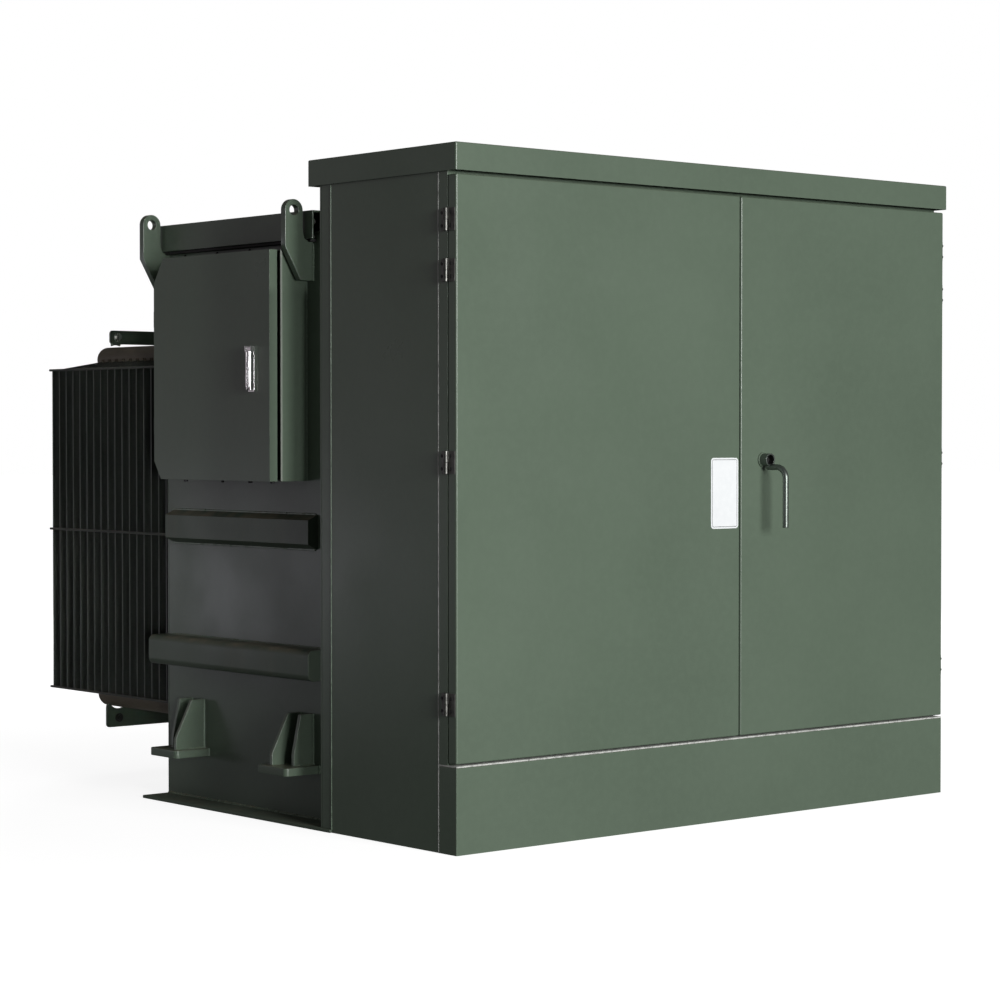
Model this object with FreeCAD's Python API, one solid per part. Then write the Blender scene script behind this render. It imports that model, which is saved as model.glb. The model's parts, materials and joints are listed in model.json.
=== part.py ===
"""Three-phase pad-mounted power transformer with a front terminal cabinet.

Units are millimetres. +X is to the right as seen from the cabinet doors, +Y runs from the doors to
the radiators, +Z is up. The origin is the centre of the underside of the tank's base plate.
"""
import FreeCAD, Part
import math
import os

from FreeCAD import Vector

# ---------------------------------------------------------------- driving dimensions
# cabinet
total_height = 2000.0
body_width = 2077.0            # over the side sheets
cabinet_depth = 582.5          # door face to the front of the tank's joining flange
sheet = 3.0                    # cabinet sheet
roof_overhang = 8.0            # front and sides
roof_rear_overhang = 49.0      # behind the tank's front plate
roof_skirt = 78.0
sill_height = 247.0
gasket_height = 5.0
return_depth = 80.0            # door face to the side sheet's front edge

# doors
door_clearance = 5.0           # around a moving door
door_roof_gap = 10.0
left_door_width = 1127.0
door_depth = 34.0
post_leaf = 60.0               # width of the door post's and header's inner leaf
header_lap = 18.0              # header's top above the doors' top
header_height = 74.0

# door hinges
hinge_heights = (424.0, 1105.0, 1644.0, 1786.0)
hinge_height = 64.0
barrel_radius = 7.0
pin_radius = 4.0
pin_clearance = 0.1
knuckle_gap = 1.0
leaf_thickness = 3.0
hinge_setback = 38.5           # door face to the hinge axis
frame_leaf_length = 23.5       # hinge axis to the leaf's far edge
door_leaf_length = 34.5

# blank plate on the left door
plate_width = 117.0
plate_height = 216.0
plate_thickness = 1.5
plate_corner = 12.0
plate_edge_inset = 8.0         # from the door's free edge
plate_bottom = 896.0

# main handle on the right door
handle_inset = 97.0            # hub axis from the door's free edge
handle_height = 1105.0
hub_radius = 18.5
hub_wall = 4.5
hub_length = 33.0              # in front of the door
hub_recess = 22.0
collar_radius = 23.5
collar_thickness = 5.0
washer_radius = 26.0
washer_thickness = 4.0
bolt_radius = 9.0
bolt_length = 14.0
lever_radius = 8.0
lever_reach = 106.0            # door face to the lever's front
lever_drop = 208.0             # hub axis to the lever's lower end
lever_bend = 36.0
lever_door_gap = 22.0
lever_bite = 1.0               # how far the lever sinks into the hub

# tank
base_plate_width = 2093.0
base_plate_depth = 1014.0
base_plate_thickness = 10.0
flange_depth = 54.5            # joining flange of the tank's front plate
tank_width = 1893.0
tank_height = 1800.0
tank_wall = 8.0

# tank cover
cover_overhang = 30.0
cover_front_setback = 121.0    # behind the tank's front plate
cover_top = 1861.0
cover_skirt = 85.0
cover_sheet = 6.0
clamp_width = 12.0
clamp_thickness = 8.0
clamp_foot_length = 24.0

# lifting lugs
lug_thickness = 24.0
lug_radius = 33.0
lug_hole_radius = 16.0
lug_eye_height = 1861.0
lug_eye_reach = 72.0           # tank wall to the eye's centre
lug_foot = 1650.0
lug_foot_reach = 48.0
lug_cover_gap = 1.5
lug_notch_rise = 7.0
lug_inner_rise = 21.0
lug_shoulder = 1750.0
lug_front_setback = 156.0      # tank front plate to the front lug

# jacking pads
pad_reach = 128.0
pad_length = 153.0
pad_bottom = 151.0
pad_thickness = 25.0
pad_corner = 14.0
gusset_thickness = 14.0
gusset_height = 156.0
gusset_toe = 35.0
gusset_top = 48.0
wide_gusset_foot = 109.0
narrow_gusset_foot = 74.0
front_pad_setback = 128.0      # tank front plate to the front pad
rear_pad_setback = 84.5        # tank's rear to the rear pad
front_pad_gussets = (32.0, 96.0)   # narrow and wide gusset from the pad's front edge
rear_pad_gussets = (94.0, 27.0)

# wall stiffeners
lower_rib_reach = 75.0
lower_rib_bottom = 438.0
lower_rib_height = 94.0
lower_rib_corner = 20.0
lower_rib_setback = 86.0       # tank front plate to the rib's front end
upper_rib_reach = 37.0
upper_rib_bottom = 832.0
upper_rib_height = 108.0
upper_rib_slope = 17.0
upper_rib_setback = 136.0
upper_rib_rear_gap = 41.5

# control box on the left wall
box_length = 633.0
box_height = 701.0
box_bottom = 1041.0
box_setback = 190.0            # tank front plate to the box
box_depth = 100.0
box_sheet = 3.0
box_top_chamfer = (53.0, 79.0)
box_bottom_chamfer = (38.0, 57.0)
box_door_depth = 28.5
box_door_gap = 11.5
box_hinge_radius = 6.0
box_hinge_clearance = 1.0      # knuckle to the box's rear
box_hinge_height = 50.0
box_hinge_heights = (1210.0, 1550.0)
box_leaf_length = 26.0

# control box handle
box_handle_setback = 89.0      # box door's front edge to the handle's centreline
box_handle_width = 24.0
box_handle_top = 1448.0
box_handle_length = 131.0
escutcheon_thickness = 5.0
escutcheon_margin = 4.0
ear_width = 3.0
ear_reach = 5.0                # past the grip's pin
ear_drop = 6.0
grip_thickness = 13.0
grip_gap = 2.0
grip_pin_radius = 2.5

# radiators
bank_count = 3
bank_pitch = 616.0
panel_count = 18
panel_pitch = 45.0
panel_width = 504.0
panel_thickness = 10.0
panel_setback = 82.5           # tank's rear to the first panel's middle
panel_shoulder = 43.0          # rise of the panel's edge from its corner to the header
header_radius = 44.5
header_low = 244.0
header_spacing = 1214.0
header_overrun = 56.0          # past the last panel's middle
header_end_round = 26.0
rod_radius = 4.0
rod_overrun = 12.0
rod_corner_inset = 6.0

# tie bars
tie_half_length = 646.0
tie_thickness = 10.0
tie_panel_gap = 18.0           # in front of the last panel's middle
upper_tie_height = 49.0
lower_tie_top = 25.0           # below the lower header pipes' axis
lower_tie_height = 85.0
lower_tie_overrun = 19.0       # past the upper bar's ends
tie_header_gap = 3.0
tie_corner = 12.0
tie_lug_width = 36.0
tie_lug_thickness = 10.0

# terminal bushings
high_bushing_count = 3
high_bushing_pitch = 230.0
high_bushing_height = 1080.0
high_bushing_radius = 52.0
high_bushing_length = 110.0
high_bushing_flange = 27.5
high_bushing_root_radius = 41.6
high_bushing_tip_radius = 26.0
high_bushing_x = -540.0
low_bushing_count = 4
low_bushing_pitch = 170.0
low_bushing_height = 1250.0
low_bushing_radius = 46.0
low_bushing_length = 60.0
low_bushing_x = 540.0
spade_width = 76.0
spade_thickness = 13.0
spade_length = 110.0
spade_hole_radius = 7.0
spade_holes_along = (33.0, 77.0)   # from the bushing's face
spade_hole_rise = 19.0
spade_root_width = 38.0
spade_root_depth = 10.0

# core, coils and oil inside the tank
active_clearance = 90.0
active_top = 1560.0

# modelling allowances
overcut = 10.0                 # how far a cut runs past the metal
nearness = 1.0                 # how near a face an edge must be to count as on it

# ---------------------------------------------------------------- places worked out from them
half_body = body_width / 2
half_tank = tank_width / 2
half_base = base_plate_width / 2
flange_front = -base_plate_depth / 2
tank_rear = base_plate_depth / 2
tank_front = flange_front + flange_depth
door_face = flange_front - cabinet_depth
post_front = door_face + door_depth + door_clearance
side_front = door_face + return_depth
roof_under = total_height - sheet
skirt_bottom = total_height - roof_skirt
door_bottom = sill_height + gasket_height + door_clearance
door_top = skirt_bottom - door_roof_gap
seam_left = -half_body + left_door_width
seam_right = seam_left + door_clearance
hinge_x = half_body + barrel_radius
hinge_y = door_face + hinge_setback
handle_x = seam_right + handle_inset
box_front = tank_front + box_setback
box_rear = box_front + box_length
box_open = -half_tank - box_depth
box_door_inner = box_open - box_door_gap
box_door_outer = box_door_inner - box_door_depth
box_hinge_x = box_open - box_door_gap / 2
box_hinge_y = box_rear + box_hinge_radius + box_hinge_clearance
header_high = header_low + header_spacing
first_panel = tank_rear + panel_setback
last_panel = first_panel + (panel_count - 1) * panel_pitch
header_end = last_panel + header_overrun
bank_places = [(i - (bank_count - 1) / 2) * bank_pitch for i in range(bank_count)]
bank_names = ("left", "centre", "right")
tie_y = last_panel - tie_panel_gap - tie_thickness


# ---------------------------------------------------------------- shape helpers
def block(x, y, z):
    """A box between pairs of X, Y and Z."""
    corner = Vector(min(x), min(y), min(z))
    return Part.makeBox(abs(x[1] - x[0]), abs(y[1] - y[0]), abs(z[1] - z[0]), corner)


def rod(start, end, radius):
    """A round bar between two points."""
    way = end - start
    return Part.makeCylinder(radius, way.Length, start, way)


def fuse(*shapes):
    """One clean solid from several that meet."""
    return shapes[0].fuse(list(shapes[1:])).removeSplitter()


def prism(points, travel):
    """A flat outline of straight edges, extruded."""
    wire = Part.makePolygon(list(points) + [points[0]])
    return Part.Face(wire).extrude(travel)


def rounded(shape, radius, chosen):
    """Fillets the edges whose middle point passes the test."""
    edges = [e for e in shape.Edges if chosen(e.CenterOfMass)]
    return shape.makeFillet(radius, edges)


def mirrored(shape):
    """The same piece on the other side of the unit."""
    return shape.mirror(Vector(0, 0, 0), Vector(1, 0, 0))


def both_sides(make, side):
    """The left piece, or its mirror image for the right side."""
    return make() if side == "left" else mirrored(make())


# ---------------------------------------------------------------- cabinet
def cabinet_roof():
    half = half_body + roof_overhang
    front = door_face - roof_overhang
    rear = tank_front + roof_rear_overhang
    outer = block((-half, half), (front, rear), (skirt_bottom, total_height))
    hollow = block((sheet - half, half - sheet), (front + sheet, rear - sheet), (0, roof_under))
    return outer.cut(hollow)


def cabinet_wall():
    return block((-half_body, sheet - half_body), (side_front, flange_front), (0, roof_under))


def door_post():
    foot = sill_height + gasket_height
    side = block((-half_body, sheet - half_body), (post_front, side_front), (foot, roof_under))
    leaf = block((-half_body, post_leaf - half_body), (post_front, post_front + sheet), (foot, roof_under))
    return fuse(side, leaf)


def door_header():
    reach = half_body - post_leaf
    high = door_top + header_lap
    return block((-reach, reach), (post_front, post_front + sheet), (high - header_height, high))


def front_sill():
    front = block((-half_body, half_body), (door_face, door_face + sheet), (0, sill_height))
    left = block((-half_body, sheet - half_body), (door_face, side_front), (0, sill_height))
    shelf = block((-half_body, half_body), (door_face, side_front), (sill_height - sheet, sill_height))
    return fuse(front, left, mirrored(left), shelf)


def sill_gasket():
    z = (sill_height, sill_height + gasket_height)
    return block((-half_body, half_body), (door_face, side_front), z)


# ---------------------------------------------------------------- cabinet door hinges
def frame_hinge_leaf(z):
    """Leaf on the door post, its lower knuckle and the pin."""
    low, high = z - hinge_height / 2, z + hinge_height / 2
    knuckle_top = z - knuckle_gap / 2
    face = (-half_body - leaf_thickness, -half_body)
    far = hinge_y + frame_leaf_length
    clear = hinge_y + barrel_radius + knuckle_gap
    leaf = block(face, (clear, far), (low, high))
    tongue = block(face, (hinge_y, clear), (low, knuckle_top))
    axis_low = Vector(-hinge_x, hinge_y, low)
    knuckle = rod(axis_low, Vector(-hinge_x, hinge_y, knuckle_top), barrel_radius)
    pin = rod(axis_low, Vector(-hinge_x, hinge_y, high - knuckle_gap), pin_radius)
    return fuse(leaf, tongue, knuckle, pin)


def door_hinge_leaf(z):
    """Leaf on the door's edge and its upper knuckle."""
    low, high = z - hinge_height / 2, z + hinge_height / 2
    knuckle_low = z + knuckle_gap / 2
    face = (-half_body - leaf_thickness, -half_body)
    far = hinge_y - door_leaf_length
    clear = hinge_y - barrel_radius - knuckle_gap
    leaf = block(face, (far, clear), (low, high))
    tongue = block(face, (clear, hinge_y), (knuckle_low, high))
    knuckle = rod(Vector(-hinge_x, hinge_y, knuckle_low), Vector(-hinge_x, hinge_y, high), barrel_radius)
    bore = rod(Vector(-hinge_x, hinge_y, low), Vector(-hinge_x, hinge_y, high - knuckle_gap / 2),
               pin_radius + pin_clearance)
    return fuse(leaf, tongue, knuckle).cut(bore)


def frame_hinges():
    return Part.makeCompound([frame_hinge_leaf(z) for z in hinge_heights])


def door_hinges():
    return Part.makeCompound([door_hinge_leaf(z) for z in hinge_heights])


# ---------------------------------------------------------------- cabinet doors
def door_tray(left, right):
    """Sheet-metal door with a return on each edge."""
    z = (door_bottom, door_top)
    outer = block((left, right), (door_face, door_face + door_depth), z)
    hollow = block((left + sheet, right - sheet), (door_face + sheet, door_face + door_depth),
                   (z[0] + sheet, z[1] - sheet))
    return outer.cut(hollow)


def left_door_panel():
    return door_tray(-half_body, seam_left)


def right_door_panel():
    """The door with the collar and the hole that the handle's hub turns in."""
    tray = door_tray(seam_right, half_body)
    centre = Vector(handle_x, door_face, handle_height)
    collar = rod(centre + Vector(0, sheet, 0), centre - Vector(0, collar_thickness, 0), collar_radius)
    hole = rod(centre + Vector(0, sheet + overcut, 0), centre - Vector(0, collar_thickness + overcut, 0),
               hub_radius + pin_clearance)
    return fuse(tray, collar).cut(hole)


def door_plate():
    """Blank rounded plate beside the seam on the left door."""
    right = seam_left - plate_edge_inset
    z = (plate_bottom, plate_bottom + plate_height)
    plate = block((right - plate_width, right), (door_face - plate_thickness, door_face), z)
    mid_x = right - plate_width / 2
    mid_z = sum(z) / 2
    reach_x = plate_width / 2 - nearness
    reach_z = plate_height / 2 - nearness
    return rounded(plate, plate_corner, lambda p: abs(p.x - mid_x) > reach_x and abs(p.z - mid_z) > reach_z)


def door_handle():
    """Hollow hub with a five-sided bolt, and the bent lever welded under it."""
    centre = Vector(handle_x, door_face, handle_height)
    front = centre - Vector(0, hub_length, 0)
    behind = centre + Vector(0, sheet + knuckle_gap, 0)
    hub = rod(behind, front, hub_radius)
    washer = rod(behind, behind + Vector(0, washer_thickness, 0), washer_radius)
    recess = rod(front, front + Vector(0, hub_recess, 0), hub_radius - hub_wall)
    corners = []
    for i in range(5):
        turn = math.radians(90 + 72 * i)
        across = bolt_radius * math.cos(turn)
        up = bolt_radius * math.sin(turn)
        corners.append(front + Vector(across, hub_recess, up))
    bolt = prism(corners, Vector(0, -bolt_length, 0))
    lever_z = handle_height - hub_radius - lever_radius + lever_bite
    start = Vector(handle_x, door_face - lever_door_gap, lever_z)
    outer_y = door_face - lever_reach + lever_radius
    bend_in = Vector(handle_x, outer_y + lever_bend, lever_z)
    bend_out = Vector(handle_x, outer_y, lever_z - lever_bend)
    slack = lever_bend * (1 - math.sqrt(0.5))
    bend_mid = Vector(handle_x, outer_y + slack, lever_z - slack)
    end = Vector(handle_x, outer_y, handle_height - lever_drop)
    path = Part.Wire([
        Part.LineSegment(start, bend_in).toShape(),
        Part.Arc(bend_in, bend_mid, bend_out).toShape(),
        Part.LineSegment(bend_out, end).toShape(),
    ])
    profile = Part.Wire(Part.makeCircle(lever_radius, start, Vector(0, -1, 0)))
    lever = path.makePipeShell([profile], True, False)
    return fuse(hub.cut(recess), washer, bolt, lever)


# ---------------------------------------------------------------- tank
def tank_base_plate():
    return block((-half_base, half_base), (flange_front, tank_rear), (0, base_plate_thickness))


def tank_front_plate():
    return block((-half_body, half_body), (tank_front - tank_wall, tank_front),
                 (base_plate_thickness, roof_under))


def front_plate_flanges():
    left = block((-half_body, tank_wall - half_body), (flange_front, tank_front - tank_wall),
                 (base_plate_thickness, roof_under))
    return Part.makeCompound([left, mirrored(left)])


def tank_side_wall():
    z = (base_plate_thickness, tank_height - tank_wall)
    return block((-half_tank, tank_wall - half_tank), (tank_front, tank_rear - tank_wall), z)


def tank_rear_wall():
    z = (base_plate_thickness, tank_height - tank_wall)
    return block((-half_tank, half_tank), (tank_rear - tank_wall, tank_rear), z)


def tank_top_plate():
    z = (tank_height - tank_wall, tank_height)
    return block((-half_tank, half_tank), (tank_front, tank_rear), z)


def tank_cover():
    """Bolted cover whose skirt stands outside the tank's walls and is open at the front."""
    half = half_tank + cover_overhang
    y = (tank_front + cover_front_setback, tank_rear + cover_overhang)
    outer = block((-half, half), y, (cover_top - cover_skirt, cover_top))
    inner_half = half - cover_sheet
    hollow = block((-inner_half, inner_half), (y[0] + cover_sheet, y[1] - cover_sheet),
                   (0, cover_top - cover_sheet))
    open_front = block((-inner_half, inner_half), (y[0] - overcut, y[0] + overcut),
                       (0, cover_top - cover_sheet))
    return outer.cut(hollow).cut(open_front)


def cover_clamps():
    """Angle brackets that hold the cover's front end down."""
    front = tank_front + cover_front_setback
    places = [s * x for x in (half_tank - clamp_width, half_tank / 3) for s in (-1, 1)]
    brackets = []
    for x in places:
        edges = (x - clamp_width / 2, x + clamp_width / 2)
        upright = block(edges, (front - clamp_thickness, front), (tank_height, cover_top))
        foot = block(edges, (front - clamp_foot_length, front), (tank_height, tank_height + clamp_thickness))
        brackets.append(fuse(upright, foot))
    return Part.makeCompound(brackets)


def lifting_lug(y):
    """Plate lug with a shackle eye, standing on the tank's left wall."""
    wall = -half_tank
    eye_x = wall - lug_eye_reach
    outer = eye_x - lug_radius
    inner = eye_x + lug_radius
    under_skirt = cover_top - cover_skirt - lug_cover_gap

    def point(x, z):
        return Vector(x, y, z)

    outline = [
        point(outer, lug_eye_height),
        point(outer, lug_shoulder),
        point(wall - lug_foot_reach, lug_foot),
        point(wall, lug_foot),
        point(wall, under_skirt - lug_notch_rise),
        point(wall - cover_overhang - lug_cover_gap, under_skirt),
        point(inner, under_skirt + lug_inner_rise),
        point(inner, lug_eye_height),
    ]
    edges = [Part.LineSegment(a, b).toShape() for a, b in zip(outline, outline[1:])]
    edges.append(Part.Arc(outline[-1], point(eye_x, lug_eye_height + lug_radius), outline[0]).toShape())
    plate = Part.Face(Part.Wire(edges)).extrude(Vector(0, lug_thickness, 0))
    hole = rod(point(eye_x, lug_eye_height), point(eye_x, lug_eye_height) + Vector(0, lug_thickness, 0),
               lug_hole_radius)
    return plate.cut(hole)


def front_lug():
    return lifting_lug(tank_front + lug_front_setback)


def rear_lug():
    return lifting_lug(tank_rear - lug_thickness)


def gusset(foot, y):
    """Web between the pad and the tank's left wall."""
    wall = -half_tank
    base = pad_bottom + pad_thickness
    outline = [
        Vector(wall, y, base),
        Vector(wall - foot, y, base),
        Vector(wall - foot, y, base + gusset_toe),
        Vector(wall - gusset_top, y, base + gusset_height),
        Vector(wall, y, base + gusset_height),
    ]
    return prism(outline, Vector(0, gusset_thickness, 0))


def jacking_pad(front, narrow_at, wide_at):
    """Pad plate with a narrow and a wide gusset."""
    wall = -half_tank
    plate = block((wall - pad_reach, wall), (front, front + pad_length),
                  (pad_bottom, pad_bottom + pad_thickness))
    outer = wall - pad_reach + nearness
    middle = front + pad_length / 2
    reach = pad_length / 2 - nearness
    plate = rounded(plate, pad_corner, lambda p: p.x < outer and abs(p.y - middle) > reach)
    narrow = gusset(narrow_gusset_foot, front + narrow_at)
    wide = gusset(wide_gusset_foot, front + wide_at)
    return fuse(plate, narrow, wide)


def front_jacking_pad():
    return jacking_pad(tank_front + front_pad_setback, *front_pad_gussets)


def rear_jacking_pad():
    return jacking_pad(tank_rear - rear_pad_setback - pad_length, *rear_pad_gussets)


def wall_stiffeners():
    """Lower box rib and upper shallow rib along the tank's left wall."""
    wall = -half_tank
    lower = block((wall - lower_rib_reach, wall), (tank_front + lower_rib_setback, tank_rear),
                  (lower_rib_bottom, lower_rib_bottom + lower_rib_height))
    middle = lower_rib_bottom + lower_rib_height / 2
    outer = wall - lower_rib_reach + nearness
    reach = lower_rib_height / 2 - nearness
    lower = rounded(lower, lower_rib_corner, lambda p: p.x < outer and abs(p.z - middle) > reach)
    start = tank_front + upper_rib_setback
    end = tank_rear - upper_rib_rear_gap
    top = upper_rib_bottom + upper_rib_height
    outline = [
        Vector(wall, start, upper_rib_bottom),
        Vector(wall - upper_rib_reach, start, upper_rib_bottom + upper_rib_slope),
        Vector(wall - upper_rib_reach, start, top - upper_rib_slope),
        Vector(wall, start, top),
    ]
    upper = prism(outline, Vector(0, end - start, 0))
    return Part.makeCompound([lower, upper])


def active_part():
    """Plain block in the place of the core, coils and oil."""
    reach = half_tank - active_clearance
    y = (tank_front + active_clearance, tank_rear - active_clearance)
    return block((-reach, reach), y, (base_plate_thickness, active_top))


# ---------------------------------------------------------------- control box
def box_outline(x, inset):
    """Chamfered outline of the box in a plane of constant X, moved in by a sheet's thickness."""
    front, rear = box_front + inset, box_rear - inset
    low, high = box_bottom + inset, box_bottom + box_height - inset
    return [
        Vector(x, front, low),
        Vector(x, rear - box_bottom_chamfer[0], low),
        Vector(x, rear, low + box_bottom_chamfer[1]),
        Vector(x, rear, high - box_top_chamfer[1]),
        Vector(x, rear - box_top_chamfer[0], high),
        Vector(x, front, high),
    ]


def box_tray(open_x, closed_x):
    """Shallow tray with the box's outline, open at one X."""
    way = 1 if open_x > closed_x else -1
    outer = prism(box_outline(closed_x, 0), Vector(open_x - closed_x, 0, 0))
    floor = closed_x + way * box_sheet
    return outer.cut(prism(box_outline(floor, box_sheet), Vector(open_x - floor, 0, 0)))


def box_hinge_leaf(z, side):
    """Leaf and knuckle: side +1 is on the box, side -1 on its door."""
    low, high = z - box_hinge_height / 2, z + box_hinge_height / 2
    middle = z - side * knuckle_gap / 2
    end = low if side > 0 else high
    start_x = box_hinge_x + side * (box_hinge_radius + knuckle_gap)
    leaf = block((start_x, start_x + side * box_leaf_length), (box_rear, box_rear + leaf_thickness),
                 (low, high))
    tongue = block((box_hinge_x, start_x), (box_rear, box_rear + leaf_thickness), (middle, end))

    def axis(height):
        return Vector(box_hinge_x, box_hinge_y, height)

    knuckle = rod(axis(min(middle, end)), axis(max(middle, end)), box_hinge_radius)
    pin_top = high - knuckle_gap
    if side > 0:
        pin = rod(axis(low), axis(pin_top), pin_radius)
        return fuse(leaf, tongue, knuckle, pin)
    bore = rod(axis(low), axis(pin_top + knuckle_gap / 2), pin_radius + pin_clearance)
    return fuse(leaf, tongue, knuckle).cut(bore)


def control_box_body():
    tray = box_tray(box_open, -half_tank)
    return fuse(tray, *[box_hinge_leaf(z, 1) for z in box_hinge_heights])


def box_door_panel():
    tray = box_tray(box_door_inner, box_door_outer)
    return fuse(tray, *[box_hinge_leaf(z, -1) for z in box_hinge_heights])


handle_centre_y = box_front + box_handle_setback
grip_pivot = Vector(box_door_outer - escutcheon_thickness - grip_gap - grip_thickness / 2,
                    handle_centre_y, box_handle_top - grip_thickness / 2)


def box_handle_base():
    """Escutcheon on the box door with two ears that hold the grip's pin."""
    half = box_handle_width / 2 + escutcheon_margin
    low = box_handle_top - box_handle_length - escutcheon_margin
    high = box_handle_top + escutcheon_margin
    face = box_door_outer - escutcheon_thickness
    plate = block((face, box_door_outer), (handle_centre_y - half, handle_centre_y + half), (low, high))
    pin = rod(grip_pivot - Vector(0, half, 0), grip_pivot + Vector(0, half, 0), grip_pin_radius)
    ears = []
    for side in (-1, 1):
        inner = handle_centre_y + side * (half - ear_width)
        outer = handle_centre_y + side * half
        ears.append(block((grip_pivot.x - ear_reach, face), (inner, outer), (grip_pivot.z - ear_drop, high)))
    return fuse(plate, pin, *ears)


def box_handle():
    """Grip that lifts away from the escutcheon about its top pin."""
    half = box_handle_width / 2
    radius = grip_thickness / 2
    low = box_handle_top - box_handle_length
    near = grip_pivot - Vector(0, half, 0)
    far = grip_pivot + Vector(0, half, 0)
    body = block((grip_pivot.x - radius, grip_pivot.x + radius), (near.y, far.y), (low, grip_pivot.z))
    top = rod(near, far, radius)
    bore = rod(near, far, grip_pin_radius + pin_clearance)
    return fuse(body, top).cut(bore)


# ---------------------------------------------------------------- radiators
def radiator_panel(x, y):
    """One plate, cut round where it meets the two header pipes."""
    edge = panel_width / 2
    low_corner = header_low + panel_shoulder
    high_corner = header_high - panel_shoulder
    outline = [
        Vector(x - edge, y, low_corner),
        Vector(x, y, header_low),
        Vector(x + edge, y, low_corner),
        Vector(x + edge, y, high_corner),
        Vector(x, y, header_high),
        Vector(x - edge, y, high_corner),
    ]
    plate = prism(outline, Vector(0, panel_thickness, 0))
    for z in (header_low, header_high):
        centre = Vector(x, y, z)
        plate = plate.cut(rod(centre, centre + Vector(0, panel_thickness, 0), header_radius))
    return plate


def radiator_panels(x):
    starts = [first_panel + i * panel_pitch - panel_thickness / 2 for i in range(panel_count)]
    return Part.makeCompound([radiator_panel(x, y) for y in starts])


def header_pipe(x, z):
    """Closed pipe from the tank's rear wall."""
    pipe = rod(Vector(x, tank_rear, z), Vector(x, header_end, z), header_radius)
    return rounded(pipe, header_end_round, lambda p: abs(p.y - header_end) < nearness)


def radiator_headers(x):
    return Part.makeCompound([header_pipe(x, header_low), header_pipe(x, header_high)])


def radiator_spacer_rods():
    """Rods along the panels' side edges at the top, middle and bottom of each bank."""
    corner = panel_shoulder + rod_corner_inset
    heights = (header_low + corner, (header_low + header_high) / 2, header_high - corner)
    rods = []
    for x in bank_places:
        for side in (-1, 1):
            place = x + side * (panel_width / 2 + rod_radius)
            for z in heights:
                start = Vector(place, first_panel - rod_overrun, z)
                rods.append(rod(start, Vector(place, last_panel + rod_overrun, z), rod_radius))
    return Part.makeCompound(rods)


def flat_bar(half_length, low, high):
    """Flat bar across the banks with rounded corners."""
    bar = block((-half_length, half_length), (tie_y, tie_y + tie_thickness), (low, high))
    middle = (low + high) / 2
    reach_x = half_length - nearness
    reach_z = (high - low) / 2 - nearness
    return rounded(bar, tie_corner, lambda p: abs(p.x) > reach_x and abs(p.z - middle) > reach_z)


def pipe_hole(x, z):
    """The room that a header pipe takes where a tie bar crosses it."""
    start = Vector(x, tie_y, z)
    return rod(start, start + Vector(0, tie_thickness + tie_lug_thickness, 0), header_radius)


def upper_tie_bar():
    """Bar above the pipes, with a lug down to each."""
    low = header_high + header_radius + tie_header_gap
    bar = flat_bar(tie_half_length, low, low + upper_tie_height)
    y = (tie_y + tie_thickness, tie_y + tie_thickness + tie_lug_thickness)
    for x in bank_places:
        lug = block((x - tie_lug_width / 2, x + tie_lug_width / 2), y, (header_high, low + upper_tie_height))
        bar = fuse(bar, lug.cut(pipe_hole(x, header_high)))
    return bar


def lower_tie_bar():
    """Bar below the pipes, cut out to seat on each."""
    high = header_low - lower_tie_top
    bar = flat_bar(tie_half_length + lower_tie_overrun, high - lower_tie_height, high)
    for x in bank_places:
        bar = bar.cut(pipe_hole(x, header_low))
    return bar


# ---------------------------------------------------------------- terminal bushings
def bushing_row(count, pitch, centre_x, make):
    return Part.makeCompound([make(centre_x + (i - (count - 1) / 2) * pitch) for i in range(count)])


def high_bushing(x):
    """Stepped well with a tapered nose."""
    start = Vector(x, tank_front - tank_wall, high_bushing_height)
    out = Vector(0, -1, 0)
    flange = Part.makeCylinder(high_bushing_radius, high_bushing_flange, start, out)
    nose = Part.makeCone(high_bushing_root_radius, high_bushing_tip_radius, high_bushing_length, start, out)
    return fuse(flange, nose)


def low_bushing(x):
    """Round bushing with a flat drilled spade."""
    start = Vector(x, tank_front - tank_wall, low_bushing_height)
    barrel = Part.makeCylinder(low_bushing_radius, low_bushing_length, start, Vector(0, -1, 0))
    near = start.y - low_bushing_length
    thickness = (x - spade_thickness / 2, x + spade_thickness / 2)
    spade = block(thickness, (near - spade_length, near),
                  (start.z - spade_width / 2, start.z + spade_width / 2))
    root = block(thickness, (near, near + spade_root_depth),
                 (start.z - spade_root_width / 2, start.z + spade_root_width / 2))
    spade = spade.fuse(root)
    for along in spade_holes_along:
        for rise in (-spade_hole_rise, spade_hole_rise):
            entry = Vector(thickness[0] - overcut, near - along, start.z + rise)
            leaving = Vector(thickness[1] + overcut, near - along, start.z + rise)
            spade = spade.cut(rod(entry, leaving, spade_hole_radius))
    return fuse(barrel, spade)


def high_bushings():
    return bushing_row(high_bushing_count, high_bushing_pitch, high_bushing_x, high_bushing)


def low_bushings():
    return bushing_row(low_bushing_count, low_bushing_pitch, low_bushing_x, low_bushing)


# ---------------------------------------------------------------- all pieces
pieces = {
    "cabinet_roof": cabinet_roof(),
    "door_header": door_header(),
    "front_sill": front_sill(),
    "sill_gasket": sill_gasket(),
    "tank_base_plate": tank_base_plate(),
    "tank_front_plate": tank_front_plate(),
    "front_plate_flanges": front_plate_flanges(),
    "tank_rear_wall": tank_rear_wall(),
    "tank_top_plate": tank_top_plate(),
    "tank_cover": tank_cover(),
    "cover_clamps": cover_clamps(),
    "active_part": active_part(),
    "control_box_body": control_box_body(),
    "radiator_spacer_rods": radiator_spacer_rods(),
    "upper_tie_bar": upper_tie_bar(),
    "lower_tie_bar": lower_tie_bar(),
    "high_bushings": high_bushings(),
    "low_bushings": low_bushings(),
    "left_door_panel": left_door_panel(),
    "door_plate": door_plate(),
    "right_door_panel": right_door_panel(),
    "door_handle": door_handle(),
    "box_door_panel": box_door_panel(),
    "box_handle_base": box_handle_base(),
    "box_handle": box_handle(),
}
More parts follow.
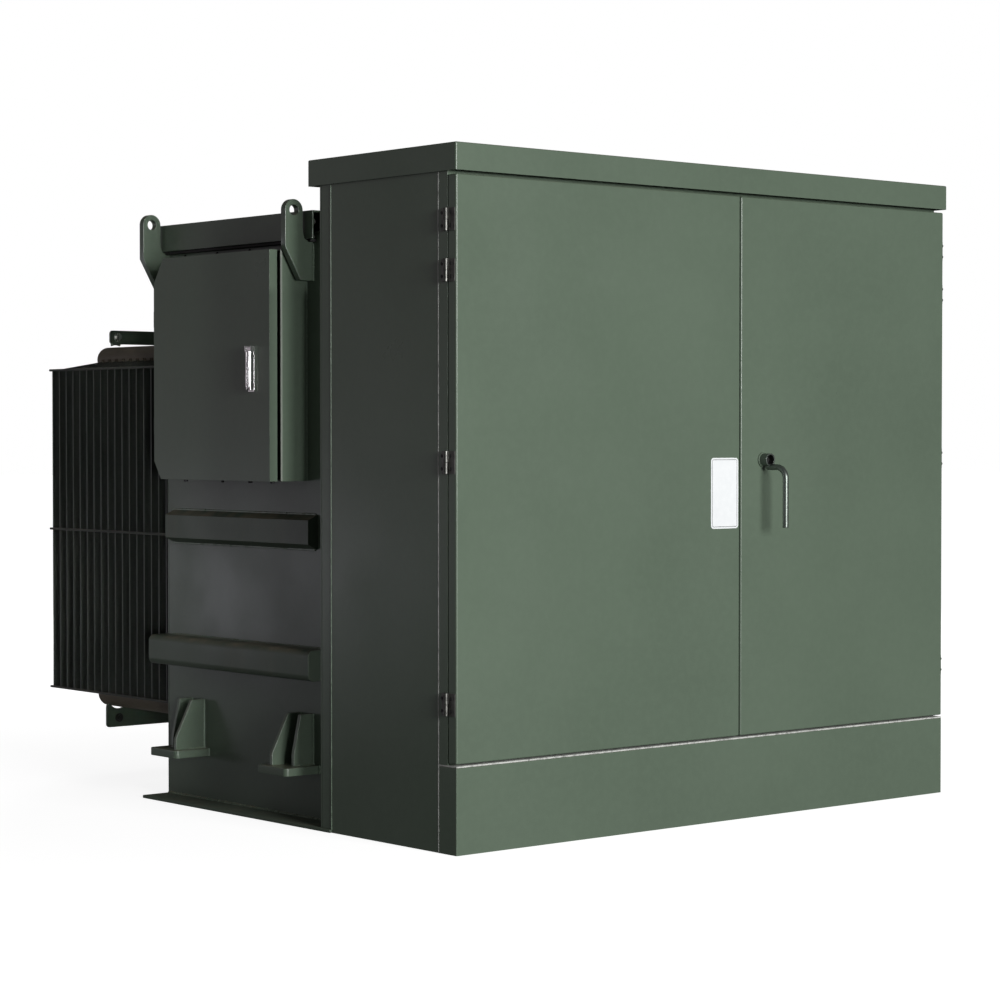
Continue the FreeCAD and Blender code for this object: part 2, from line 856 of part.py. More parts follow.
handed_pieces = {
    "cabinet_{}_wall": cabinet_wall,
    "{}_door_post": door_post,
    "{}_frame_hinges": frame_hinges,
    "{}_door_hinges": door_hinges,
    "tank_{}_wall": tank_side_wall,
    "{}_front_lug": front_lug,
    "{}_rear_lug": rear_lug,
    "{}_front_jacking_pad": front_jacking_pad,
    "{}_rear_jacking_pad": rear_jacking_pad,
    "{}_wall_stiffeners": wall_stiffeners,
}
for name, make in handed_pieces.items():
    for side in ("left", "right"):
        pieces[name.format(side)] = both_sides(make, side)
for side, x in zip(bank_names, bank_places):
    pieces[side + "_radiator_panels"] = radiator_panels(x)
    pieces[side + "_radiator_headers"] = radiator_headers(x)

os.makedirs("parts", exist_ok=True)
for name, shape in sorted(pieces.items()):
    shape.exportStep("parts/" + name + ".step")
    print(name, "solids", len(shape.Solids), "valid", shape.isValid(), "volume", round(shape.Volume))
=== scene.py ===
"""Looks of a three-phase pad-mounted power transformer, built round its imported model."""
import json
import math
import random

import bmesh
import bpy
from bpy.props import FloatProperty, FloatVectorProperty, IntProperty, PointerProperty
from mathutils import Matrix, Vector


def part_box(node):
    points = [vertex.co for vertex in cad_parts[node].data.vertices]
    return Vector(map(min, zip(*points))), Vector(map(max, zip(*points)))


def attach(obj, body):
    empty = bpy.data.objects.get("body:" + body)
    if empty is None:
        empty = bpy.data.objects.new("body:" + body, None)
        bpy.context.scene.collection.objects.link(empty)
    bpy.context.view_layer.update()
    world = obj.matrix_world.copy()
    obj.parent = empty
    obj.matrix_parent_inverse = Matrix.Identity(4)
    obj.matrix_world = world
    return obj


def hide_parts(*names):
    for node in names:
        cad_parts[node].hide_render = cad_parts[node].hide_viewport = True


bl_info = {
    "name": "Pad-mounted transformer",
    "version": (1, 0, 0),
    "blender": (4, 5, 0),
    "location": "3D View > Sidebar > Transformer",
    "description": "Builds the finished surfaces and small parts of a pad-mounted transformer",
    "category": "Object",
}

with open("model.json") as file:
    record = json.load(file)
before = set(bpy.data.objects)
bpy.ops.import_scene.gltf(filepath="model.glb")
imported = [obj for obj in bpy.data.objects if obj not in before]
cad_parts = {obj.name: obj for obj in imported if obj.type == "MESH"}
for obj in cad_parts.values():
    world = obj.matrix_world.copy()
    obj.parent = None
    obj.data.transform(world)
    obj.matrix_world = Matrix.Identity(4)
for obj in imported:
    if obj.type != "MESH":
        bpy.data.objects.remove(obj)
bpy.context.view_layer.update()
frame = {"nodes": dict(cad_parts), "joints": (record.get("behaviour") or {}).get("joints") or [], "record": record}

MM = 0.001
SHARP_ANGLE = math.radians(32)
X_AXIS, Y_AXIS, Z_AXIS = Vector((1, 0, 0)), Vector((0, 1, 0)), Vector((0, 0, 1))
SIDES = (("left", -1), ("right", 1))
BANKS = ("left", "centre", "right")
VERT, EDGE = bmesh.types.BMVert, bmesh.types.BMEdge

# Sizes inside one node, which no box of the frame gives. Hub and lever are a little fuller than packed.
DOOR_COLLAR = 23.5 * MM
HUB_RADIUS = 20 * MM
HUB_WALL = 4.5 * MM
HUB_REACH = 33 * MM
HUB_RECESS = 22 * MM
LEVER_RADIUS = 9.2 * MM
LEVER_BEND = 36 * MM
LEVER_START = 22 * MM
LEVER_LAP = 7 * MM
PAD_PLATE = 25 * MM
GUSSET_REACH = 62 * MM
LUG_FOOT = 112 * MM
BOX_DEPTH = 100 * MM
HEADER_RADIUS = 44.5 * MM
PANEL_SHOULDER = 43 * MM
PANEL_PLATE = 10 * MM
PANEL_COUNT = 18


# ---- settings
def colour(name, description, value):
    return FloatVectorProperty(name=name, description=description, subtype="COLOR", size=3, min=0, max=1,
                               default=value)


def length(name, description, value):
    return FloatProperty(name=name, description=description, unit="LENGTH", min=0, default=value)


def factor(name, description, value):
    return FloatProperty(name=name, description=description, subtype="FACTOR", min=0, max=1, default=value)


def level(name, description, value):
    return FloatProperty(name=name, description=description, min=0, default=value)


class FinishSettings(bpy.types.PropertyGroup):
    """Colours and gloss of the finishes"""
    cabinet_green: colour("Cabinet green", "Paint of the cabinet and its doors", (0.094, 0.128, 0.092))
    tank_green: colour("Tank green", "Paint of the tank, lugs, pads and control box", (0.088, 0.120, 0.087))
    radiator_green: colour("Radiator green", "Paint of the radiators", (0.040, 0.047, 0.040))
    dust: colour("Dust", "Dust and weld grime on the paint", (0.20, 0.17, 0.12))
    strip: colour("Pale strip", "Strip between the doors and the sill", (0.52, 0.53, 0.50))
    plate: colour("Plate", "Blank plate on the left door", (0.74, 0.76, 0.77))
    bare_steel: colour("Bare steel", "Worn hinges of the cabinet doors", (0.15, 0.15, 0.14))
    resin: colour("Resin", "Cast resin of the high-voltage bushings", (0.16, 0.050, 0.026))
    paint_roughness: factor("Paint roughness", "Roughness of the satin paint", 0.32)
    orange_peel: factor("Orange peel", "Depth of the paint's fine texture", 0.16)


class DetailSettings(bpy.types.PropertyGroup):
    """Sizes of the small parts"""
    sheet: length("Sheet", "Thickness of the cabinet's sheet metal", 3 * MM)
    bend: length("Bend radius", "Outer radius of the sheet metal's bends", 4.5 * MM)
    plate_edge: length("Plate edge", "Rounding of the thick plates' edges", 2.2 * MM)
    weld: length("Weld", "Half width of a weld bead", 4.6 * MM)
    weld_step: length("Weld ripple", "Distance between the ripples of a weld bead", 6 * MM)
    bolt: length("Bolt", "Width of a bolt's head across its corners", 22 * MM)
    flutes: IntProperty(name="Flutes", description="Pressed channels across a radiator panel", min=2,
                        default=7)
    flute_depth: length("Flute depth", "Height of a panel's channels above its rim", 4.2 * MM)
    rim: length("Rim", "Width of a panel's flat rim", 13 * MM)


class StudioSettings(bpy.types.PropertyGroup):
    """Camera and lights"""
    focal_length: FloatProperty(name="Focal length", description="Focal length in millimetres", min=1,
                                default=96.59)
    key: level("Key", "Power of the large light before the doors", 1540)
    screen: level("Screen", "Power of the pale screen behind on the left", 11.8)
    sheen: level("Sheen", "Power of the low strip behind the screen", 6)
    side_fill: level("Side fill", "Light per square metre on the lugs, box and pads", 1.15)
    back_fill: level("Back fill", "Light per square metre on the radiators' fronts", 0.4)
    rear: level("Rear", "Power of the light behind on the right", 330)
    ambient: level("Ambient", "Strength of the light from all round", 0.085)
    background: level("Background", "Brightness of the backdrop", 1.0)


# ---- materials
class Nodes:
    """A material's node tree with short ways to add and link nodes."""

    def __init__(self, name, **sockets):
        self.material = bpy.data.materials.new(name)
        self.material.use_nodes = True
        self.tree = self.material.node_tree
        self.shader = self.tree.nodes["Principled BSDF"]
        for socket, value in sockets.items():
            self.shader.inputs[socket.replace("_", " ")].default_value = value
        self.place = self.tree.nodes.new("ShaderNodeTexCoord").outputs["Object"]

    def feed(self, socket, value):
        """Links another node's socket in, or sets the socket's own value."""
        if isinstance(value, bpy.types.NodeSocket):
            self.tree.links.new(value, socket)
        else:
            socket.default_value = value

    def node(self, kind, settings=(), **inputs):
        made = self.tree.nodes.new("ShaderNode" + kind)
        for name, value in dict(settings).items():
            setattr(made, name, value)
        for name, value in inputs.items():
            self.feed(made.inputs[name.replace("_", " ")], value)
        return made

    def noise(self, scale, detail=3.0, stretch=(1, 1, 1), roughness=0.55):
        place = self.node("Mapping", Vector=self.place, Scale=stretch).outputs["Vector"]
        made = self.node("TexNoise", Vector=place, Scale=scale, Detail=detail, Roughness=roughness)
        return made.outputs["Fac"]

    def ramp(self, value, low, high, to_low=0.0, to_high=1.0):
        made = self.node("MapRange", Value=value, From_Min=low, From_Max=high, To_Min=to_low,
                         To_Max=to_high)
        return made.outputs["Result"]

    def maths(self, operation, first, second):
        made = self.node("Math", {"operation": operation, "use_clamp": True})
        for socket, value in zip(made.inputs, (first, second)):
            self.feed(socket, value)
        return made.outputs["Value"]

    def mix(self, amount, first, second):
        made = self.node("Mix", {"data_type": "RGBA"})
        for index, value in ((0, amount), (6, first), (7, second)):
            self.feed(made.inputs[index], value)
        return made.outputs[2]

    def bump(self, height, distance, strength=1.0, before=None):
        made = self.node("Bump", Height=height, Distance=distance, Strength=strength)
        if before:
            self.tree.links.new(before, made.inputs["Normal"])
        return made.outputs["Normal"]

    def finish(self, colour=None, roughness=None, normal=None):
        for name, value in (("Base Color", colour), ("Roughness", roughness), ("Normal", normal)):
            if value is not None:
                self.feed(self.shader.inputs[name], value)
        return self.material


def rgba(colour, gain=1.0):
    return tuple(min(1.0, c * gain) for c in colour) + (1.0,)


def toned(colour, gain):
    return tuple(gain * c for c in colour)


def paint(name, colour, dust=0.0, streaks=0.0, peel=1.0, waviness=1.0, roughness=None, metallic=0.0):
    """Satin paint: a little uneven in tone, with orange peel, dust on what faces up and faint run marks."""
    look = bpy.context.scene.transformer_finish
    made = Nodes(name, Metallic=metallic)
    base = look.paint_roughness if roughness is None else roughness
    clouds = made.noise(1.3, 4.0)
    specks = made.noise(42.0, 5.0, roughness=0.7)
    tone = made.mix(made.ramp(clouds, 0.3, 0.7), rgba(colour, 0.93), rgba(colour, 1.06))
    tone = made.mix(made.ramp(specks, 0.42, 0.74, 0.0, 0.16), tone, rgba(colour, 1.45))
    if streaks:
        runs = made.noise(9.0, 6.0, stretch=(1.0, 1.0, 0.07), roughness=0.65)
        tone = made.mix(made.ramp(runs, 0.54, 0.82, 0.0, streaks), tone, rgba(look.dust, 0.8))
    if dust:
        up = made.node("SeparateXYZ", Vector=made.node("NewGeometry").outputs["Normal"]).outputs["Z"]
        patches = made.ramp(made.noise(16.0, 7.0), 0.33, 0.66)
        settled = made.maths("MULTIPLY", made.ramp(up, 0.25, 0.9), patches)
        tone = made.mix(made.maths("MULTIPLY", settled, dust), tone, rgba(look.dust))
    gloss = made.ramp(made.noise(3.0, 5.0), 0.25, 0.75, base - 0.06, base + 0.08)
    waves = made.bump(made.noise(2.2, 1.0), 6 * MM, 0.5 * waviness)
    skin = made.bump(made.noise(260.0, 2.0), 0.35 * MM, look.orange_peel * peel, waves)
    return made.finish(tone, gloss, skin)


def bare_metal(name, colour, roughness, wear=0.3):
    """Bare or plated steel with fine scratches and dull patches."""
    made = Nodes(name, Metallic=1.0)
    scratches = made.noise(120.0, 4.0, stretch=(1.0, 1.0, 0.12))
    patches = made.noise(35.0, 5.0)
    tone = made.mix(made.ramp(patches, 0.45, 0.8, 0.0, wear), rgba(colour), rgba(colour, 0.35))
    gloss = made.ramp(scratches, 0.3, 0.7, max(0.04, roughness - 0.08), roughness + 0.1)
    return made.finish(tone, gloss, made.bump(scratches, 0.1 * MM, 0.25))


def grimy_strip(name, colour):
    """Pale strip with worn, dirty specks."""
    made = Nodes(name)
    specks = made.noise(38.0, 6.0, roughness=0.75)
    tone = made.mix(made.ramp(specks, 0.46, 0.66), rgba(colour), rgba(colour, 0.42))
    return made.finish(tone, made.ramp(specks, 0.3, 0.7, 0.5, 0.75), made.bump(specks, 0.6 * MM, 0.5))


def resin(name, colour):
    """Glossy cast resin with a faint cloudiness."""
    made = Nodes(name)
    clouds = made.noise(12.0, 4.0)
    return made.finish(made.mix(clouds, rgba(colour, 0.8), rgba(colour, 1.2)),
                       made.ramp(clouds, 0.3, 0.7, 0.18, 0.3), made.bump(clouds, 0.3 * MM, 0.3))


def build_finishes():
    """All the finishes, by the short name that the pieces use."""
    look = bpy.context.scene.transformer_finish
    return {
        "cabinet": paint("cabinet_paint", look.cabinet_green, dust=0.25),
        "tank": paint("tank_paint", look.tank_green, dust=0.75, streaks=0.12),
        "ribs": paint("stiffener_paint", toned(look.tank_green, 0.78), dust=0.95, streaks=0.25, peel=2.5,
                      roughness=0.4),
        "base": paint("base_plate_paint", look.tank_green, dust=0.35, streaks=0.3, peel=6.0,
                      roughness=0.7),
        # pale green-grey lip: lighter than the tank paint, a painted highlight along the box body's front edge
        "lip": paint("box_lip_lightened_as_highlight", (0.17, 0.19, 0.16), waviness=0.0, roughness=0.5),
        "pipes": paint("pipe_paint", toned(look.dust, 0.6), dust=1.0, peel=1.5, roughness=0.5),
        "radiator": paint("radiator_paint", look.radiator_green, dust=0.6, streaks=0.1, roughness=0.45),
        # welds are painted 1.8 times lighter than the tank: painted highlight on the beads, with real dust on top
        "weld": paint("weld_paint_lightened_as_highlight", toned(look.tank_green, 1.8), dust=0.9, peel=2.5, roughness=0.3),
        "strip": grimy_strip("pale_strip", look.strip),
        "plate": paint("plate_face", look.plate, waviness=0.0, roughness=0.35),
        "plate_line": paint("plate_border", (0.10, 0.11, 0.11), waviness=0.0, roughness=0.4),
        # near-black finish for the strip under the cover's skirt: painted shadow under the overhang
        "rubber": paint("skirt_shadow_black", (0.012, 0.012, 0.012), waviness=0.0, roughness=0.7),
        "handle": paint("handle_paint", (0.14, 0.16, 0.145), waviness=0.0, roughness=0.34, metallic=0.85),
        "hinge": bare_metal("worn_hinge_steel", look.bare_steel, 0.46, 0.9),
        "bolt": bare_metal("bolt_steel", (0.55, 0.55, 0.53), 0.28, 0.4),
        "chrome": bare_metal("polished_chrome", (0.82, 0.82, 0.82), 0.12, 0.1),
        # near-black steel for screws, plugs and bolts, and also painted shade inside the handle's hub recess
        "dark": bare_metal("blackened_steel_and_recess_shade", (0.06, 0.06, 0.06), 0.5, 0.3),
        "resin": resin("bushing_resin", look.resin),
        "inner": paint("core_fill", look.dust, waviness=0.0),
    }


finishes = {}    # filled by main, because the settings have to be registered first


# ---- mesh helpers
def sizes():
    """The settings of the small parts."""
    return bpy.context.scene.transformer_detail


def cube(bm, low, high):
    """A block between two corners, and its vertices."""
    low, high = Vector(low), Vector(high)
    size = Matrix.Diagonal((high - low).to_4d())
    size[3][3] = 1.0
    return bmesh.ops.create_cube(bm, size=1.0, matrix=Matrix.Translation((low + high) / 2) @ size)["verts"]


def turned(start, direction):
    """A frame at start whose Z runs along direction."""
    return Matrix.Translation(start) @ Vector(direction).to_track_quat("Z", "Y").to_matrix().to_4x4()


def drum(bm, start, direction, radius, depth, segments=24, end_radius=None):
    """A closed round or many-sided bar from start along direction."""
    place = turned(start, direction) @ Matrix.Translation((0, 0, depth / 2))
    far_radius = radius if end_radius is None else end_radius
    made = bmesh.ops.create_cone(bm, cap_ends=True, segments=segments, radius1=radius,
                                 radius2=far_radius, depth=depth, matrix=place)
    return made["verts"]


def edges_of(verts):
    chosen = set(verts)
    return [e for e in {e for v in chosen for e in v.link_edges} if all(v in chosen for v in e.verts)]


def only(kind, parts):
    """The parts of one kind among an operator's results."""
    return [part for part in parts if isinstance(part, kind)]


def disc(bm, place, radius, segments):
    """A filled circle, and the edges round it."""
    made = bmesh.ops.create_circle(bm, cap_ends=True, segments=segments, radius=radius, matrix=place)
    return edges_of(made["verts"])


def extruded(bm, edges):
    """Extrudes edges without moving them, and gives the new vertices and edges."""
    made = bmesh.ops.extrude_edge_only(bm, edges=edges)["geom"]
    return only(VERT, made), only(EDGE, made)


def bevel(bm, edges, width, segments=2):
    bmesh.ops.bevel(bm, geom=edges, offset=width, offset_type="OFFSET", segments=segments,
                    profile=0.5, affect="EDGES", clamp_overlap=True, material=-1)


def sharp(edges, angle=SHARP_ANGLE):
    return [e for e in edges if len(e.link_faces) == 2 and e.calc_face_angle() > angle]


def round_edges(bm, verts, width, segments=2):
    bevel(bm, sharp(edges_of(verts)), width, segments)


def add_piece(name, bm, finish, body="root", stands_for=(), slot=None):
    """Makes the mesh an object that rides on a body. A finish is one name or a list of them."""
    for e in bm.edges:
        e.smooth = not (len(e.link_faces) != 2 or e.calc_face_angle() > SHARP_ANGLE)
    for face in bm.faces:
        face.smooth = True
    mesh = bpy.data.meshes.new(name)
    bm.to_mesh(mesh)
    bm.free()
    for each in [finish] if isinstance(finish, str) else finish:
        mesh.materials.append(finishes[each])
    piece = bpy.data.objects.new(name, mesh)
    bpy.context.scene.collection.objects.link(piece)
    normals = piece.modifiers.new("flat_faces", "WEIGHTED_NORMAL")
    normals.keep_sharp = True
    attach(piece, body)
    if stands_for:
        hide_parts(*stands_for)
        slot = slot or slot_of(stands_for[0])
    return piece


def slot_of(node):
    """Material slot that the record gives a node."""
    return next(s["material_slot"] for s in frame["record"]["subparts"] if s["node"] == node)


def body_of(node):
    """Moving body, or root, that carries a node."""
    return next(body for body, nodes in frame["record"]["behaviour"]["bodies"].items() if node in nodes)


def cad_mesh(node):
    """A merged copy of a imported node's mesh, with flat faces made whole."""
    bm = bmesh.new()
    bm.from_mesh(frame["nodes"][node].data)
    bmesh.ops.remove_doubles(bm, verts=bm.verts[:], dist=0.01 * MM)
    bmesh.ops.dissolve_limit(bm, angle_limit=math.radians(0.5), verts=bm.verts[:], edges=bm.edges[:])
    return bm


def corner_places(node, axis):
    """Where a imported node's corners lie along an axis, in order."""
    bm = cad_mesh(node)
    places = sorted(v.co[axis] for v in bm.verts)
    bm.free()
    return places


def softened(node, width, finish, segments=2):
    """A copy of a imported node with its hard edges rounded."""
    bm = cad_mesh(node)
    bevel(bm, sharp(bm.edges[:]), width, segments)
    return add_piece(node + "_finished", bm, finish, body_of(node), [node])


def shell(bm, open_sides, sheet, bend):
    """Turns a block into bent sheet metal: faces towards open_sides go, bends are rounded."""
    gone = [f for f in bm.faces if any(f.normal.dot(Vector(s)) > 0.99 for s in open_sides)]
    bmesh.ops.delete(bm, geom=gone, context="FACES_ONLY")
    bevel(bm, sharp(bm.edges[:], math.radians(5)), bend, 4)
    bmesh.ops.recalc_face_normals(bm, faces=bm.faces[:])
    bmesh.ops.solidify(bm, geom=bm.faces[:], thickness=sheet)


def hex_bolt(bm, place, direction, size):
    """Washer, six-sided head and the end of the thread."""
    place, out = Vector(place), Vector(direction)
    drum(bm, place, out, size * 0.72, size * 0.12, 20)
    head = drum(bm, place + out * size * 0.12, out, size * 0.5, size * 0.36, 6)
    round_edges(bm, head, size * 0.03, 1)
    drum(bm, place + out * size * 0.48, out, size * 0.26, size * 0.16, 12)


def weld_bead(bm, points, radius, step, seed):
    """A rippled bead along a path of straight runs."""
    crest, trough, spread, tail = 1.0, 0.74, 0.2, 0.4
    draw = random.Random(seed)
    points = [Vector(p) for p in points]
    stops = []
    for start, end in zip(points, points[1:]):
        count = max(2, round((end - start).length / step))
        stops += [start.lerp(end, i / count) for i in range(count)]
    stops.append(points[-1])
    edges = disc(bm, turned(stops[0], (stops[1] - stops[0]).normalized()), radius, 6)
    size, middle = radius, stops[0]
    for i, stop in enumerate(stops[1:], 1):
        grown = radius * ((crest if i % 2 else trough) + draw.uniform(-spread, spread))
        if i == len(stops) - 1:
            grown = radius * tail
        verts, edges = extruded(bm, edges)
        bmesh.ops.translate(bm, verts=verts, vec=stop - middle)
        bmesh.ops.scale(bm, verts=verts, vec=(grown / size,) * 3, space=Matrix.Translation(-stop))
        size, middle = grown, stop
    bmesh.ops.edgeloop_fill(bm, edges=edges)
    bmesh.ops.recalc_face_normals(bm, faces=bm.faces[:])


# ---- cabinet
def folded(name, node, open_sides, share):
    """A packed block remade as bent sheet metal, its bends a share of the usual radius."""
    detail = sizes()
    bm = bmesh.new()
    cube(bm, *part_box(node))
    shell(bm, open_sides, detail.sheet, detail.bend * share)
    add_piece(name, bm, "cabinet", stands_for=[node])


def build_walls():
    """Side sheets, posts, header and the tank's front plate, with sealant beside each post."""
    for side in dict(SIDES):
        softened(f"cabinet_{side}_wall", 1.0 * MM, "cabinet")
        softened(f"{side}_door_post", 1.0 * MM, "cabinet")
    softened("door_header", 1.0 * MM, "cabinet")
    softened("tank_front_plate", 1.5 * MM, "cabinet")
    softened("front_plate_flanges", 1.5 * MM, "cabinet")
    half_width, depth, rise = 2.0 * MM, MM, 0.6 * MM
    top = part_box("cabinet_roof")[0].z - MM
    bm = bmesh.new()
    for side, sign in SIDES:
        low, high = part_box(f"cabinet_{side}_wall")
        face = high.x if sign > 0 else low.x
        inner, outer = sorted((face - sign * depth, face + sign * rise))
        cube(bm, (inner, low.y - half_width, low.z + MM), (outer, low.y + half_width, top))
    round_edges(bm, bm.verts[:], 0.5 * MM, 2)
    add_piece("post_sealant_lines", bm, "strip", slot="sill_strip")


class TRANSFORMER_OT_cabinet(bpy.types.Operator):
    """Bent roof, side sheets, door posts, sill and the sealant beside the posts"""
    bl_idname = "transformer.cabinet"
    bl_label = "Cabinet"

    def execute(self, context):
        folded("roof_tray", "cabinet_roof", [-Z_AXIS], 1.0)
        folded("sill_tray", "front_sill", [-Z_AXIS, Y_AXIS], 0.6)
        softened("sill_gasket", 1.2 * MM, "strip")
        build_walls()
        return {"FINISHED"}


# ---- doors
def door_sheet(bm, node):
    """Bent door tray with two upright stiffeners inside."""
    detail = sizes()
    rib_half, rib_end, rib_clear = 30 * MM, 40 * MM, 6 * MM
    low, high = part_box(node)
    low.y, high.y = (corner.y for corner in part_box("left_door_panel"))
    cube(bm, low, high)
    shell(bm, [Y_AXIS], detail.sheet, detail.bend)
    for share in (0.33, 0.67):
        x = low.x + (high.x - low.x) * share
        rib = cube(bm, (x - rib_half, low.y + detail.sheet, low.z + rib_end),
                   (x + rib_half, high.y - rib_clear, high.z - rib_end))
        round_edges(bm, rib, 3 * MM, 2)


def build_doors():
    """Both doors, and on the right one the welded collar round the handle's hub."""
    for side in dict(SIDES):
        node = f"{side}_door_panel"
        bm = bmesh.new()
        door_sheet(bm, node)
        if side == "right":
            hub = hub_centre()
            front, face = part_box(node)[0].y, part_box("left_door_panel")[0].y
            collar = drum(bm, (hub.x, face + MM, hub.z), -Y_AXIS, DOOR_COLLAR, face - front + MM, 40)
            round_edges(bm, collar, 1.5 * MM, 2)
        add_piece(f"{side}_door_sheet", bm, "cabinet", f"{side}_door", [node])


class TRANSFORMER_OT_doors(bpy.types.Operator):
    """Both cabinet doors as bent trays, with the collar for the handle"""
    bl_idname = "transformer.doors"
    bl_label = "Doors"

    def execute(self, context):
        build_doors()
        return {"FINISHED"}


def build_plate():
    """Blank plate with a thin border line."""
    corner, margin, line = 11 * MM, 5 * MM, 1.6 * MM
    bm = bmesh.new()
    verts = cube(bm, *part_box("door_plate"))
    through = [e for e in edges_of(verts) if abs((e.verts[0].co - e.verts[1].co).normalized().y) > 0.9]
    bevel(bm, through, corner, 6)
    front = min(bm.faces, key=lambda f: f.calc_center_median().y)
    bmesh.ops.inset_region(bm, faces=[front], thickness=margin)
    for face in bmesh.ops.inset_region(bm, faces=[front], thickness=line)["faces"]:
        face.material_index = 1
    add_piece("blank_door_plate", bm, ["plate", "plate_line"], "left_door", ["door_plate"])


class TRANSFORMER_OT_door_plate(bpy.types.Operator):
    """Blank plate beside the seam on the left door"""
    bl_idname = "transformer.door_plate"
    bl_label = "Door plate"

    def execute(self, context):
        build_plate()
        return {"FINISHED"}


def build_hinges():
    """Worn hinges: rounded leaves and knuckles, with two screws in each leaf."""
    from_edge, frame_inset, door_inset, rise = 4 * MM, 10 * MM, 9 * MM, 18 * MM
    base, tip, depth = 5.5 * MM, 3.5 * MM, 1.8 * MM
    for side, sign in SIDES:
        for node, body in ((f"{side}_frame_hinges", "root"), (f"{side}_door_hinges", f"{side}_door")):
            softened(node, 0.7 * MM, "hinge", 1)
            low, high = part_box(node)
            y = high.y - frame_inset if body == "root" else low.y + door_inset
            x = (low.x + from_edge) if sign < 0 else (high.x - from_edge)
            bm = bmesh.new()
            for z in hinge_heights(node):
                for place in ((x, y, z - rise), (x, y, z + rise)):
                    head = drum(bm, place, X_AXIS * sign, base, depth, 16, tip)
                    round_edges(bm, head, 0.4 * MM, 1)
            add_piece(node + "_screws", bm, "dark", body, slot="worn_steel")


def hinge_heights(node):
    """Middle heights of the separate hinges in a node."""
    gap = 60 * MM
    heights = corner_places(node, 2)
    groups = [[heights[0]]]
    for z in heights[1:]:
        if z - groups[-1][-1] > gap:
            groups.append([])
        groups[-1].append(z)
    return [(g[0] + g[-1]) / 2 for g in groups]


class TRANSFORMER_OT_hinges(bpy.types.Operator):
    """Worn steel hinges of the cabinet doors"""
    bl_idname = "transformer.hinges"
    bl_label = "Door hinges"

    def execute(self, context):
        build_hinges()
        return {"FINISHED"}


# ---- door handle
def hub_centre():
    joint = next(j for j in frame["joints"] if j["name"] == "handle_turn")
    return Vector(joint["pos_m"])


def add_lever(bm, hub, low):
    """Round bar from under the hub, bent down to the handle's lowest point."""
    lever_z = hub.z - HUB_RADIUS - LEVER_RADIUS + LEVER_LAP
    start = Vector((hub.x, hub.y - LEVER_START, lever_z))
    bend_y = low.y + LEVER_RADIUS + LEVER_BEND
    bend_z = lever_z - LEVER_BEND
    verts, edges = extruded(bm, disc(bm, turned(start, -Y_AXIS), LEVER_RADIUS, 20))
    bmesh.ops.translate(bm, verts=verts, vec=(0, bend_y - start.y, 0))
    turn = bmesh.ops.spin(bm, geom=verts + edges, cent=(hub.x, bend_y, bend_z), axis=(1, 0, 0),
                          angle=math.pi / 2, steps=10)["geom_last"]
    verts, edges = extruded(bm, only(EDGE, turn))
    bmesh.ops.translate(bm, verts=verts, vec=(0, 0, low.z - bend_z))
    bmesh.ops.edgeloop_fill(bm, edges=edges)
    end = [e for e in sharp(bm.edges[:]) if all(v.co.z < low.z + MM for v in e.verts)]
    bevel(bm, end, 2.0 * MM, 3)


def build_handle():
    """Hollow hub with a five-sided bolt in its recess, which is painted near-black as shade, a washer and the
    lever.
    """
    low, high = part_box("door_handle")
    hub = hub_centre()
    front = hub.y - HUB_REACH
    floor = front + HUB_RECESS
    bolt_radius, bolt_depth, washer_radius, washer_depth = 9 * MM, 9 * MM, 26 * MM, 4 * MM
    back = high.y - washer_depth
    bm = bmesh.new()
    drum(bm, (hub.x, back, hub.z), -Y_AXIS, HUB_RADIUS, back - front, 40)
    cap = min(bm.faces, key=lambda f: f.calc_center_median().y)
    bmesh.ops.inset_region(bm, faces=[cap], thickness=HUB_WALL)
    recess = bmesh.ops.extrude_face_region(bm, geom=[cap])["geom"]
    bmesh.ops.delete(bm, geom=[cap], context="FACES_ONLY")
    bmesh.ops.translate(bm, verts=only(VERT, recess), vec=(0, HUB_RECESS, 0))
    rim = [e for e in sharp(bm.edges[:]) if max(v.co.y for v in e.verts) < front + MM]
    bevel(bm, rim, 1.0 * MM, 2)
    bolt = drum(bm, (hub.x, floor, hub.z), -Y_AXIS, bolt_radius, bolt_depth, 5)
    round_edges(bm, bolt, 0.8 * MM, 2)
    washer = drum(bm, (hub.x, high.y, hub.z), -Y_AXIS, washer_radius, washer_depth, 36)
    round_edges(bm, washer, 0.6 * MM, 1)
    add_lever(bm, hub, low)
    bmesh.ops.recalc_face_normals(bm, faces=bm.faces[:])
    # the recess walls, its floor and the bolt take the near-black finish: painted shade in the recess
    for face in bm.faces:
        place = face.calc_center_median()
        beside = math.hypot(place.x - hub.x, place.z - hub.z)
        if beside < HUB_RADIUS - HUB_WALL + 0.2 * MM and front + 1.5 * MM < place.y < floor + MM:
            face.material_index = 1
    add_piece("handle_and_lever", bm, ["handle", "dark"], "door_handle", ["door_handle"])


class TRANSFORMER_OT_door_handle(bpy.types.Operator):
    """Hub, five-sided bolt and bent lever of the main handle"""
    bl_idname = "transformer.door_handle"
    bl_label = "Door handle"

    def execute(self, context):
        build_handle()
        return {"FINISHED"}


# ---- tank
def build_tank():
    detail = sizes()
    for node in ("tank_left_wall", "tank_right_wall", "tank_rear_wall", "tank_top_plate"):
        softened(node, 1.5 * MM, "tank")
    softened("tank_base_plate", detail.plate_edge, "base")
    softened("tank_cover", 2.0 * MM, "tank")
    softened("cover_clamps", 1.5 * MM, "tank")
    for side in dict(SIDES):
        softened(f"{side}_wall_stiffeners", 1.6 * MM, "ribs")
    hidden = frame["nodes"]["active_part"].data.materials
    hidden.clear()
    hidden.append(finishes["inner"])


